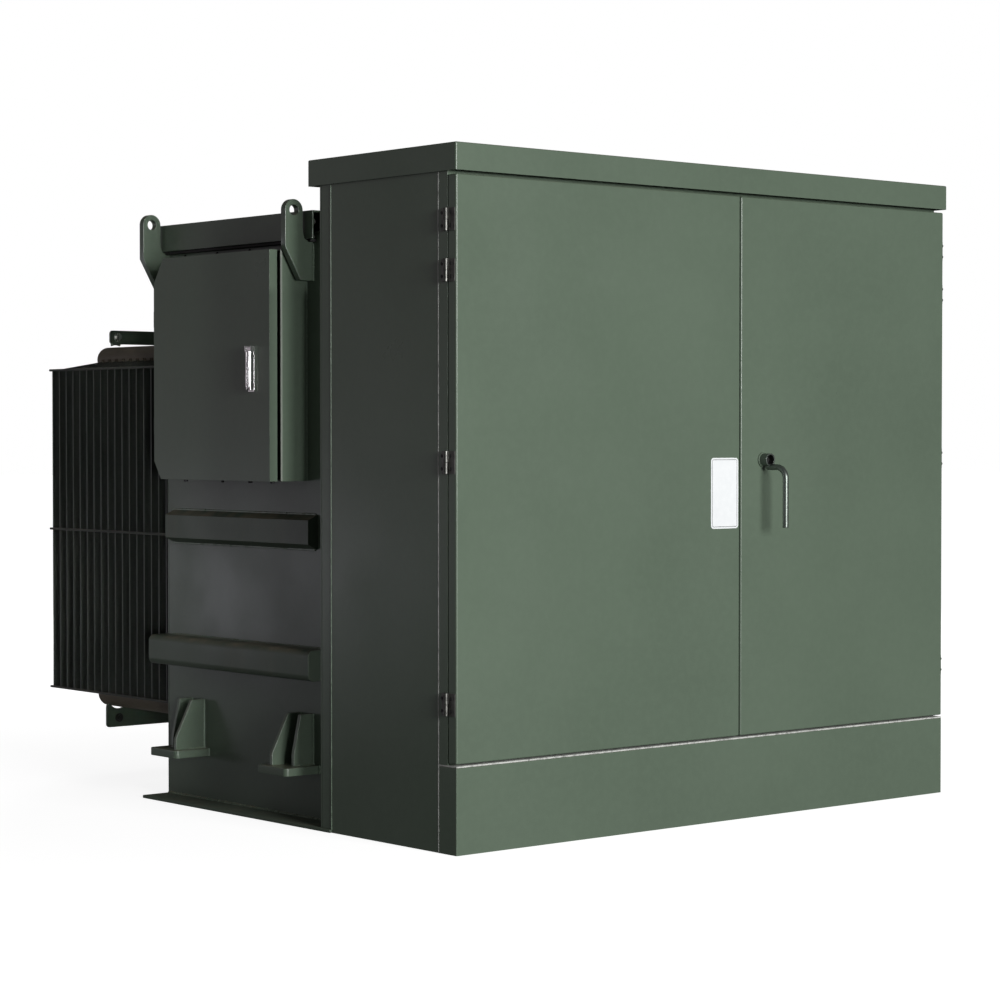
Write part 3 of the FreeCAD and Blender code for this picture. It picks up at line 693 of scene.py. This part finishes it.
def build_tank_bolts():
    """A near-black strip under the cover's skirt, which is painted shadow, small screws below it, and the cover's
    larger bolts.
    """
    size = sizes().bolt
    low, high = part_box("tank_cover")
    wall = abs(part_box("tank_left_wall")[0].x)
    skirt, shadow_depth, screw_drop, screw_count = 8 * MM, 9 * MM, 16 * MM, 4
    first_screw = low.y + 190 * MM
    screw_run = high.y - low.y - 330 * MM
    shadow_strips, screws, bolts = bmesh.new(), bmesh.new(), bmesh.new()
    for sign in (-1, 1):
        near, far = sorted((sign * wall, sign * (high.x - skirt)))
        # painted shadow: a near-black strip in the gap between the wall and the cover's skirt, where shade falls
        # under the overhang
        cube(shadow_strips, (near, low.y + 20 * MM, low.z - shadow_depth), (far, high.y - 40 * MM, low.z))
        for i in range(screw_count):
            place = (sign * wall, first_screw + i * screw_run / (screw_count - 1), low.z - screw_drop)
            hex_bolt(screws, place, X_AXIS * sign, size * 0.3)
        upper = Vector((sign * (high.x - 6 * MM), low.y + 9 * MM, low.z + 50 * MM))
        hex_bolt(bolts, upper, -X_AXIS * sign, size * 0.7)
        hex_bolt(bolts, upper - Z_AXIS * 46 * MM, -X_AXIS * sign, size * 0.5)
    round_edges(shadow_strips, shadow_strips.verts[:], 1 * MM, 1)
    add_piece("painted_shadow_under_skirt", shadow_strips, "rubber", slot="tank_paint")
    add_piece("skirt_screws", screws, "dark", slot="worn_steel")
    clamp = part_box("cover_clamps")[1]
    for x in clamp_places():
        hex_bolt(bolts, (x, clamp.y - 8 * MM, clamp.z - 26 * MM), -Y_AXIS, size * 0.8)
    add_piece("cover_bolts", bolts, "bolt", slot="worn_steel")


def clamp_places():
    """Middle of each cover clamp across the tank."""
    xs = sorted({round(x, 4) for x in corner_places("cover_clamps", 0)})
    return [(a + b) / 2 for a, b in zip(xs[::2], xs[1::2])]


class TRANSFORMER_OT_tank(bpy.types.Operator):
    """Tank walls, base plate, cover, stiffeners and the cover's bolts"""
    bl_idname = "transformer.tank"
    bl_label = "Tank"

    def execute(self, context):
        build_tank()
        build_tank_bolts()
        return {"FINISHED"}


class TRANSFORMER_OT_lugs(bpy.types.Operator):
    """Lifting lugs and jacking pads with rounded plate edges"""
    bl_idname = "transformer.lugs"
    bl_label = "Lugs and pads"

    def execute(self, context):
        edge = sizes().plate_edge
        for side in dict(SIDES):
            for end in ("front", "rear"):
                softened(f"{side}_{end}_lug", edge, "tank")
                softened(f"{side}_{end}_jacking_pad", edge, "tank")
        return {"FINISHED"}


def build_welds():
    """Beads where plates meet on the outside of the tank."""
    detail = sizes()
    bead, step = detail.weld, detail.weld_step
    upper_rib_start, rib_end = 60 * MM, 20 * MM
    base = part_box("tank_base_plate")[1]
    cover_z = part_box("tank_cover")[0].z
    roof_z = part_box("cabinet_roof")[0].z
    flange_low, flange_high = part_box("front_plate_flanges")
    for side, sign in SIDES:
        bm = bmesh.new()
        wall_low, wall_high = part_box(f"tank_{side}_wall")
        wall = sign * max(abs(wall_low.x), abs(wall_high.x))
        front = wall_low.y + bead
        weld_bead(bm, [(wall, wall_low.y, base.z), (wall, base.y, base.z)], bead * 1.3, step, 3)
        weld_bead(bm, [(wall, front, base.z), (wall, front, cover_z)], bead, step, 4)
        face = sign * flange_high.x
        weld_bead(bm, [(face, flange_low.y, base.z), (face, flange_low.y, roof_z)], bead * 0.5, step, 5)
        rib_low, rib_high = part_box(f"{side}_wall_stiffeners")
        for i, z in enumerate(rib_edges(side)):
            start = rib_low.y + (upper_rib_start if i > 1 else 0)
            weld_bead(bm, [(wall, start, z), (wall, rib_high.y - rib_end, z)], bead * 0.9, step,
                      round(z * 1000))
        for end in ("front", "rear"):
            pad_welds(bm, f"{side}_{end}_jacking_pad", wall, sign, bead, step)
            lug_low, lug_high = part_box(f"{side}_{end}_lug")
            for y in (lug_low.y, lug_high.y):
                weld_bead(bm, [(wall, y, lug_low.z), (wall, y, lug_low.z + LUG_FOOT)], bead, step, 9)
        add_piece(f"{side}_weld_beads", bm, "weld")


def pad_welds(bm, node, wall, sign, bead, step):
    """Beads round a jacking pad and its gussets."""
    low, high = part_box(node)
    shape = cad_mesh(node)
    ys = sorted({round(v.co.y, 4) for v in shape.verts if v.co.z > high.z - MM})
    shape.free()
    top = low.z + PAD_PLATE
    round_pad = [(wall, low.y, low.z), (wall, low.y, top), (wall, high.y, top), (wall, high.y, low.z)]
    weld_bead(bm, round_pad, bead * 0.9, step, 11)
    for near, far in zip(ys[::2], ys[1::2]):
        over = [(wall, near, top), (wall, near, high.z), (wall, far, high.z), (wall, far, top)]
        weld_bead(bm, over, bead, step, 12)
        for y in (near, far):
            out = wall + sign * GUSSET_REACH
            weld_bead(bm, [(wall, y, top), (out, y, top)], bead * 0.8, step, 13)


def rib_edges(side):
    """Bottom and top of the lower stiffener on a wall, then of the upper one."""
    heights = corner_places(f"{side}_wall_stiffeners", 2)
    split = max(range(1, len(heights)), key=lambda i: heights[i] - heights[i - 1])
    return heights[0], heights[split - 1], heights[split], heights[-1]


class TRANSFORMER_OT_welds(bpy.types.Operator):
    """Weld beads on the tank"""
    bl_idname = "transformer.welds"
    bl_label = "Welds"

    def execute(self, context):
        build_welds()
        return {"FINISHED"}


# ---- control box
def build_control_box():
    """Box and door, with the plugs under it, its seams and the lip that the door closes on, its pale tone a
    painted highlight along the body's front edge.
    """
    detail = sizes()
    softened("control_box_body", 1.2 * MM, "tank")
    softened("box_door_panel", 2.4 * MM, "tank", 3)
    low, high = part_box("control_box_body")
    x, first, run = low.x + 45 * MM, high.y - 40 * MM, high.y - low.y - 90 * MM
    plugs = bmesh.new()
    for share, radius in ((0.08, 7 * MM), (0.45, 5 * MM), (0.72, 7 * MM), (0.93, 7 * MM)):
        plug = drum(plugs, (x, first - run * share, low.z + MM), -Z_AXIS, radius, 9 * MM, 12)
        round_edges(plugs, plug, 0.8 * MM, 1)
    add_piece("box_drain_plugs", plugs, "dark", slot="worn_steel")
    seams = bmesh.new()
    path = [(high.x, low.y, high.z), (high.x, low.y, low.z), (high.x, high.y - 60 * MM, low.z)]
    weld_bead(seams, path, detail.weld * 0.7, detail.weld_step * 1.6, 21)
    add_piece("box_seams", seams, "weld")
    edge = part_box("tank_left_wall")[0].x - BOX_DEPTH
    lip = bmesh.new()
    # the lip's pale tone is a painted highlight on the body's front edge
    cube(lip, (edge - MM, low.y - 4 * MM, low.z), (edge + 6 * MM, low.y + MM, high.z))
    round_edges(lip, lip.verts[:], 1.5 * MM, 2)
    add_piece("box_seal_lip", lip, "lip", slot="sill_strip")


def build_box_handle():
    """Plate with a round key lock, and a chrome grip with two ridges and a notched foot."""
    lock_radius, lock_depth, lock_rise = 9 * MM, 12 * MM, 42 * MM
    low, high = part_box("box_handle_base")
    bm = cad_mesh("box_handle_base")
    bevel(bm, sharp(bm.edges[:]), 0.6 * MM, 1)
    place = (high.x, high.y - 2 * MM, low.z + lock_rise)
    round_edges(bm, drum(bm, place, -X_AXIS, lock_radius, lock_depth, 24), 1.2 * MM, 2)
    add_piece("grip_plate", bm, "chrome", "box_door", ["box_handle_base"])
    notch, ridge_half, ridge_depth, ridge_end = 9 * MM, 4 * MM, 6 * MM, 10 * MM
    low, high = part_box("box_handle")
    width, middle = high.y - low.y, (low.y + high.y) / 2
    bm = bmesh.new()
    cube(bm, (low.x + 4 * MM, low.y, low.z), high)
    across = [e for e in bm.edges if abs((e.verts[0].co - e.verts[1].co).y) > width / 2]
    bmesh.ops.subdivide_edges(bm, edges=across, cuts=1)
    foot = [v for v in bm.verts if v.co.z < low.z + MM and abs(v.co.y - middle) < MM]
    bmesh.ops.translate(bm, verts=foot, vec=(0, 0, notch))
    for share in (0.25, 0.75):
        y = low.y + width * share
        ridge = cube(bm, (low.x, y - ridge_half, low.z + ridge_end),
                     (low.x + ridge_depth, y + ridge_half, high.z - ridge_end))
        round_edges(bm, ridge, 1.5 * MM, 3)
    bevel(bm, sharp(bm.edges[:], math.radians(60)), 0.8 * MM, 2)
    add_piece("chrome_grip", bm, "chrome", "box_handle", ["box_handle"])


class TRANSFORMER_OT_control_box(bpy.types.Operator):
    """Control box, its door, plugs and chrome handle"""
    bl_idname = "transformer.control_box"
    bl_label = "Control box"

    def execute(self, context):
        build_control_box()
        build_box_handle()
        return {"FINISHED"}


# ---- radiators
def bank_size(side):
    """Corners and middle of one bank's panels."""
    low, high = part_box(f"{side}_radiator_panels")
    return low, high, (low.x + high.x) / 2


def flute_height(x, z, half_width, low_z, high_z):
    """How far a panel's face stands out: flat at the rim, channels between, smooth at their ends."""
    detail = sizes()
    edge_run, channel_start, channel_run, channel_depth = 12 * MM, 45 * MM, 40 * MM, 0.75
    from_end = min(z - low_z, high_z - z) - detail.rim
    inside = min(half_width - abs(x) - detail.rim, from_end)
    if inside <= 0:
        return 0.0
    shoulder = min(1.0, inside / edge_run)
    turns = (x + half_width) / (2 * half_width) * detail.flutes
    across = 0.5 - 0.5 * math.cos(2 * math.pi * turns)
    channel = min(1.0, max(0.0, (from_end - channel_start) / channel_run))
    return detail.flute_depth * shoulder * (1.0 - channel * channel_depth * (1.0 - across ** 0.6))


def panel_half(bm, low, high, middle):
    """One fluted sheet of a panel, with its rim turned in to the panel's middle plane."""
    half = (high.x - low.x) / 2
    rim_half, crowding = 3.0 * MM, 0.17
    bmesh.ops.create_grid(bm, x_segments=56, y_segments=26, size=0.5)
    for v in bm.verts:
        share = v.co.y + 0.5
        eased = share - crowding * math.sin(2 * math.pi * share) / math.pi
        x = v.co.x * 2 * half
        slope = PANEL_SHOULDER * (1.0 - abs(x) / half)
        bottom, top = low.z + PANEL_SHOULDER - slope, high.z - PANEL_SHOULDER + slope
        z = bottom + (top - bottom) * eased
        v.co = Vector((middle + x, -rim_half - flute_height(x, z, half, bottom, top), z))
    rim, _ = extruded(bm, [e for e in bm.edges if e.is_boundary])
    for v in rim:
        v.co.y = 0.0


def panel_mesh(side):
    """One bank's panels: each is two fluted sheets joined at a flat rim, wrapped round the headers."""
    low, high, middle = bank_size(side)
    bm = bmesh.new()
    panel_half(bm, low, high, middle)
    copy = bmesh.ops.duplicate(bm, geom=bm.verts[:] + bm.edges[:] + bm.faces[:])["geom"]
    bmesh.ops.scale(bm, verts=only(VERT, copy), vec=(1, -1, 1))
    bmesh.ops.reverse_faces(bm, faces=only(bmesh.types.BMFace, copy))
    bmesh.ops.remove_doubles(bm, verts=bm.verts[:], dist=0.05 * MM)
    bmesh.ops.recalc_face_normals(bm, faces=bm.faces[:])
    reach = HEADER_RADIUS - MM
    for v in bm.verts:
        for pipe_z in (low.z, high.z):
            centre = Vector((middle, v.co.y, pipe_z))
            away = v.co - centre
            if 1e-6 < away.length < reach:
                v.co = centre + away.normalized() * reach
    first = bm.verts[:] + bm.edges[:] + bm.faces[:]
    start = low.y + PANEL_PLATE / 2
    pitch = (high.y - low.y - PANEL_PLATE) / (PANEL_COUNT - 1)
    bmesh.ops.translate(bm, verts=bm.verts[:], vec=(0, start, 0))
    for i in range(1, PANEL_COUNT):
        copy = bmesh.ops.duplicate(bm, geom=first)["geom"]
        bmesh.ops.translate(bm, verts=only(VERT, copy), vec=(0, i * pitch, 0))
    return bm, start, pitch


def build_headers(side, start, pitch):
    """Header pipes with domed ends, and a bead where each panel joins them."""
    dome, collar_rise, collar_depth, bead = 25 * MM, 6 * MM, 5 * MM, 3.4 * MM
    low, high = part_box(f"{side}_radiator_headers")
    panels_low, panels_high, middle = bank_size(side)
    pipes, beads = bmesh.new(), bmesh.new()
    for z, facing in ((panels_low.z, 1), (panels_high.z, -1)):
        pipe = drum(pipes, (middle, low.y, z), Y_AXIS, HEADER_RADIUS, high.y - low.y, 48)
        end = [e for e in sharp(edges_of(pipe)) if all(v.co.y > high.y - MM for v in e.verts)]
        bevel(pipes, end, dome, 6)
        collar = drum(pipes, (middle, low.y, z), Y_AXIS, HEADER_RADIUS + collar_rise, collar_depth, 48)
        round_edges(pipes, collar, 2 * MM, 2)
        for i in range(PANEL_COUNT):
            for face in (-1, 1):
                y = start + i * pitch + face * PANEL_PLATE / 2
                place = turned((middle + HEADER_RADIUS + MM, y, z), -Z_AXIS)
                bmesh.ops.spin(beads, geom=disc(beads, place, bead, 5), cent=(middle, y, z),
                               axis=(0, -facing, 0), angle=math.pi, steps=14)
    add_piece(f"{side}_header_pipes", pipes, "pipes", stands_for=[f"{side}_radiator_headers"])
    add_piece(f"{side}_header_welds", beads, "pipes", slot="radiator_paint")


class TRANSFORMER_OT_radiators(bpy.types.Operator):
    """Fluted panels, header pipes and spacer rods of the three banks"""
    bl_idname = "transformer.radiators"
    bl_label = "Radiators"

    def execute(self, context):
        for side in BANKS:
            bm, start, pitch = panel_mesh(side)
            add_piece(f"{side}_fluted_panels", bm, "radiator", stands_for=[f"{side}_radiator_panels"])
            build_headers(side, start, pitch)
        softened("radiator_spacer_rods", 1.0 * MM, "radiator", 1)
        return {"FINISHED"}


class TRANSFORMER_OT_tie_bars(bpy.types.Operator):
    """Tie bars across the radiators, with their bolts"""
    bl_idname = "transformer.tie_bars"
    bl_label = "Tie bars"

    def execute(self, context):
        size = sizes().bolt
        for node, drop, finish in (("upper_tie_bar", 24 * MM, "bolt"), ("lower_tie_bar", 52 * MM, "dark")):
            softened(node, 1.8 * MM, "tank")
            low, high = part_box(node)
            bm = bmesh.new()
            for side in BANKS:
                hex_bolt(bm, (bank_size(side)[2], low.y, high.z - drop), -Y_AXIS, size)
            add_piece(node + "_bolts", bm, finish, slot="worn_steel")
        return {"FINISHED"}


# ---- bushings
def add_high_bushing(bm, x, radius, low, high):
    """One resin bushing: a flange, then a cone that steps in, from the front plate outwards."""
    profile = ((0.22, 1.0), (0.26, 0.78), (0.5, 0.72), (0.54, 0.66), (0.97, 0.5), (1.0, 0.44))
    middle_z = (low.z + high.z) / 2
    edges = disc(bm, turned((x, high.y, middle_z), -Y_AXIS), radius, 32)
    size, y = 1.0, high.y
    for share, scale in profile:
        verts, edges = extruded(bm, edges)
        new_y = high.y - share * (high.y - low.y)
        bmesh.ops.translate(bm, verts=verts, vec=(0, new_y - y, 0))
        bmesh.ops.scale(bm, verts=verts, vec=(scale / size, 1, scale / size),
                        space=Matrix.Translation((-x, 0, -middle_z)))
        size, y = scale, new_y
    bmesh.ops.edgeloop_fill(bm, edges=edges)


class TRANSFORMER_OT_bushings(bpy.types.Operator):
    """Bushings on the tank's front plate, behind the doors"""
    bl_idname = "transformer.bushings"
    bl_label = "Bushings"

    def execute(self, context):
        low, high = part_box("high_bushings")
        radius = (high.z - low.z) / 2
        pitch = (high.x - low.x - 2 * radius) / 2
        bm = bmesh.new()
        for i in range(3):
            add_high_bushing(bm, low.x + radius + i * pitch, radius, low, high)
        bmesh.ops.recalc_face_normals(bm, faces=bm.faces[:])
        add_piece("resin_bushings", bm, "resin", stands_for=["high_bushings"])
        softened("low_bushings", 1.0 * MM, "bolt")
        return {"FINISHED"}


# ---- studio
def area_light(name, place, target, width, height, power, spread=math.pi):
    """Soft panel of light that the camera doesn't see."""
    data = bpy.data.lights.new(name, "AREA")
    data.shape = "RECTANGLE"
    data.size, data.size_y, data.energy, data.spread = width, height, power, spread
    light = bpy.data.objects.new(name, data)
    light.location = place
    light.rotation_euler = (Vector(target) - Vector(place)).to_track_quat("-Z", "Y").to_euler()
    light.visible_camera = False
    bpy.context.scene.collection.objects.link(light)
    return light


def build_camera(studio):
    """Camera off the left front corner, above half height, looking a little down."""
    data = bpy.data.cameras.new("camera")
    data.lens, data.sensor_width, data.clip_end = studio.focal_length, 36, 200
    camera = bpy.data.objects.new("camera", data)
    camera.location = (-5.8121, -6.8769, 1.1852)
    looking = Vector((0.64857, 0.76075, -0.02465))
    camera.rotation_euler = looking.to_track_quat("-Z", "Y").to_euler()
    bpy.context.scene.collection.objects.link(camera)
    bpy.context.scene.camera = camera


def build_world(studio):
    """White to the camera, and a low even light for everything else."""
    world = bpy.data.worlds.new("studio")
    world.use_nodes = True
    tree = world.node_tree
    background = tree.nodes["Background"]
    seen = tree.nodes.new("ShaderNodeBackground")
    for node, strength in ((background, studio.ambient), (seen, studio.background)):
        node.inputs["Color"].default_value = (1, 1, 1, 1)
        node.inputs["Strength"].default_value = strength
    path = tree.nodes.new("ShaderNodeLightPath")
    mix = tree.nodes.new("ShaderNodeMixShader")
    tree.links.new(path.outputs["Is Camera Ray"], mix.inputs[0])
    tree.links.new(background.outputs[0], mix.inputs[1])
    tree.links.new(seen.outputs[0], mix.inputs[2])
    tree.links.new(mix.outputs[0], tree.nodes["World Output"].inputs["Surface"])
    bpy.context.scene.world = world


def build_floor():
    """Plain pale floor that glows a little, so that it stays pale away from the lights."""
    bm = bmesh.new()
    bmesh.ops.create_grid(bm, x_segments=1, y_segments=1, size=60)
    mesh = bpy.data.meshes.new("floor")
    bm.to_mesh(mesh)
    bm.free()
    made = Nodes("pale_floor", Base_Color=(0.42, 0.42, 0.42, 1), Roughness=0.9, Specular_IOR_Level=0.0,
                 Emission_Color=(1, 1, 1, 1))
    nearness = made.node("Mapping", Vector=made.place, Scale=(0.12, 0.12, 0.12)).outputs["Vector"]
    nearness = made.node("TexGradient", {"gradient_type": "SPHERICAL"}, Vector=nearness).outputs["Fac"]
    made.tree.links.new(made.ramp(nearness, 0.0, 0.8, 1.0, 0.86), made.shader.inputs["Emission Strength"])
    mesh.materials.append(made.material)
    floor = bpy.data.objects.new("floor", mesh)
    floor.visible_diffuse = False
    floor.visible_glossy = False
    bpy.context.scene.collection.objects.link(floor)


def build_fills(studio):
    """Narrow beams that reach the fronts of the parts behind the cabinet."""
    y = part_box("tank_front_plate")[1].y + 20 * MM
    strips = (("lug_fill", 1.62, 1.90, 0.940, 1.120, 0.88), ("box_fill", 1.03, 1.62, 0.960, 1.070, 0.82),
              ("pad_fill", 0.10, 0.60, 0.945, 1.110, 0.52))
    for name, low, high, inner, outer, gain in strips:
        width, height = outer - inner, high - low
        for side, sign in SIDES:
            place = Vector((sign * (inner + outer) / 2, y, (low + high) / 2))
            area_light(f"{side}_{name}", place, place + Y_AXIS, width, height,
                       gain * studio.side_fill * width * height, math.radians(14))
    place, width, height = Vector((-2.12, -1.2, 1.03)), 0.52, 2.0
    area_light("back_fill", place, place + Vector((0.5774, 1.0, 0.0)), width, height,
               studio.back_fill * width * height, math.radians(5))


class TRANSFORMER_OT_studio(bpy.types.Operator):
    """Floor, backdrop, lights and camera"""
    bl_idname = "transformer.studio"
    bl_label = "Studio"

    def execute(self, context):
        studio = context.scene.transformer_studio
        build_camera(studio)
        build_world(studio)
        build_floor()
        area_light("key", (-1.4, -12.0, 2.7), (-0.1, -1.0, 1.0), 5.0, 3.0, studio.key)
        screen = area_light("screen", (-4.9, 4.6, 1.8), (-1.0, 0.0, 1.0), 5.0, 3.4, studio.screen)
        screen.data.color = (1.0, 0.86, 0.97)
        build_fills(studio)
        sheen = area_light("sheen", (-4.4, 5.4, 0.34), (-1.0, 0.1, 0.7), 1.4, 0.5, studio.sheen)
        sheen.data.color = (0.9, 0.9, 1.0)
        rear = area_light("rear", (5.0, 7.0, 2.6), (0.3, 0.8, 1.0), 3.5, 3.0, studio.rear)
        rear.visible_glossy = False
        context.scene.view_settings.view_transform = "Standard"
        return {"FINISHED"}


# ---- add-on
OPERATORS = (
    TRANSFORMER_OT_studio,
    TRANSFORMER_OT_cabinet,
    TRANSFORMER_OT_doors,
    TRANSFORMER_OT_door_plate,
    TRANSFORMER_OT_hinges,
    TRANSFORMER_OT_door_handle,
    TRANSFORMER_OT_tank,
    TRANSFORMER_OT_lugs,
    TRANSFORMER_OT_welds,
    TRANSFORMER_OT_control_box,
    TRANSFORMER_OT_radiators,
    TRANSFORMER_OT_tie_bars,
    TRANSFORMER_OT_bushings,
)
SETTINGS = {
    "transformer_finish": FinishSettings,
    "transformer_detail": DetailSettings,
    "transformer_studio": StudioSettings,
}


class TRANSFORMER_PT_panel(bpy.types.Panel):
    """Lists the settings and the steps that build the transformer"""
    bl_label = "Transformer"
    bl_idname = "TRANSFORMER_PT_panel"
    bl_space_type = "VIEW_3D"
    bl_region_type = "UI"
    bl_category = "Transformer"

    def draw(self, context):
        for name in SETTINGS:
            group = getattr(context.scene, name)
            box = self.layout.box()
            for prop in group.bl_rna.properties:
                if prop.identifier in group.__annotations__:
                    box.prop(group, prop.identifier)
        for operator in OPERATORS:
            self.layout.operator(operator.bl_idname)


def register():
    for made in (*SETTINGS.values(), *OPERATORS, TRANSFORMER_PT_panel):
        bpy.utils.register_class(made)
    for name, group in SETTINGS.items():
        setattr(bpy.types.Scene, name, PointerProperty(type=group))


def unregister():
    for name in SETTINGS:
        delattr(bpy.types.Scene, name)
    for made in (TRANSFORMER_PT_panel, *reversed(OPERATORS), *SETTINGS.values()):
        bpy.utils.unregister_class(made)


def main():
    register()
    finishes.update(build_finishes())
    for operator in OPERATORS:
        group, name = operator.bl_idname.split(".")
        getattr(getattr(bpy.ops, group), name)()


if __name__ == "__main__":
    main()
